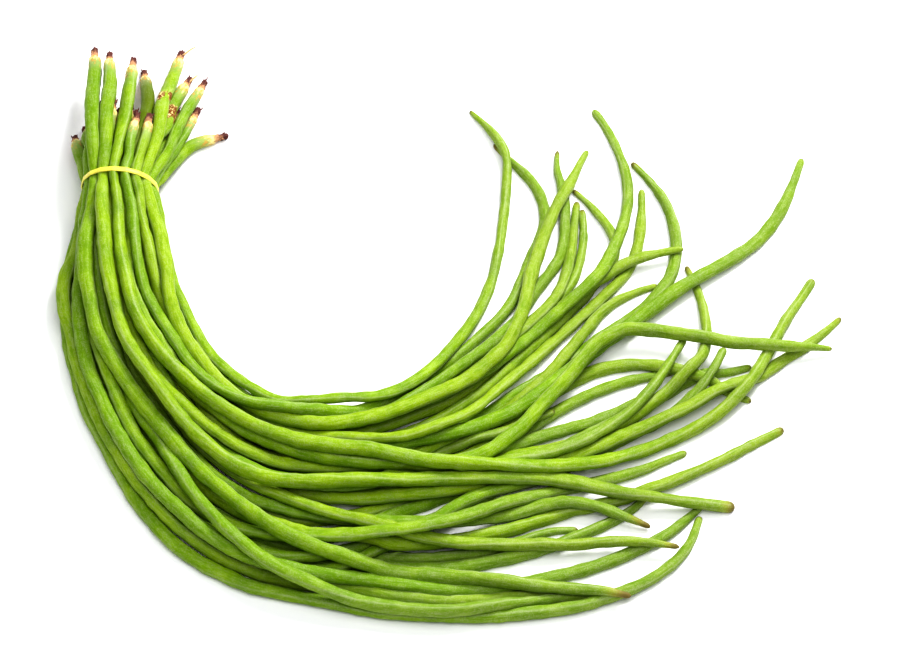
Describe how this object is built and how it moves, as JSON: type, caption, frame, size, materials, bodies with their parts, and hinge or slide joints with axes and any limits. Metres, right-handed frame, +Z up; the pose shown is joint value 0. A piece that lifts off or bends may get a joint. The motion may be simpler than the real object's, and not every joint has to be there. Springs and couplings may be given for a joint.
{
  "type": "yardlong bean bunch",
  "caption": "A bunch of long thin green bean pods lying in a crescent, tied near the stalk ends by a rubber band and fanning out to curled tips.",
  "frame": {"origin": "centre of the bunch's bounding box in plan, at the height of the surface it lies on", "axes": "+X from the tied stalks toward the fan of tips, +Y toward the cut stalk ends and the open side of the bend, +Z up"},
  "size_m": [0.4308, 0.3626, 0.0439],
  "materials": {
    "pod_skin": "satin",
    "band_rubber": "satin"
  },
  "bodies": {
    "root": {"pod_01": "pod_skin", "pod_02": "pod_skin", "pod_03": "pod_skin", "pod_04": "pod_skin", "pod_05": "pod_skin", "pod_06": "pod_skin", "pod_07": "pod_skin", "pod_08": "pod_skin", "pod_09": "pod_skin", "pod_10": "pod_skin", "pod_11": "pod_skin", "pod_12": "pod_skin", "pod_13": "pod_skin", "pod_14": "pod_skin", "pod_15": "pod_skin", "pod_16": "pod_skin", "pod_17": "pod_skin", "pod_18": "pod_skin", "pod_19": "pod_skin", "pod_20": "pod_skin", "pod_21": "pod_skin", "pod_22": "pod_skin", "pod_23": "pod_skin", "pod_24": "pod_skin", "pod_25": "pod_skin", "pod_26": "pod_skin", "pod_27": "pod_skin", "pod_28": "pod_skin", "pod_29": "pod_skin", "pod_30": "pod_skin", "pod_31": "pod_skin", "pod_32": "pod_skin", "pod_33": "pod_skin", "pod_34": "pod_skin", "pod_35": "pod_skin", "pod_36": "pod_skin", "pod_37": "pod_skin", "rubber_band": "band_rubber"}
  },
  "joints": []
}
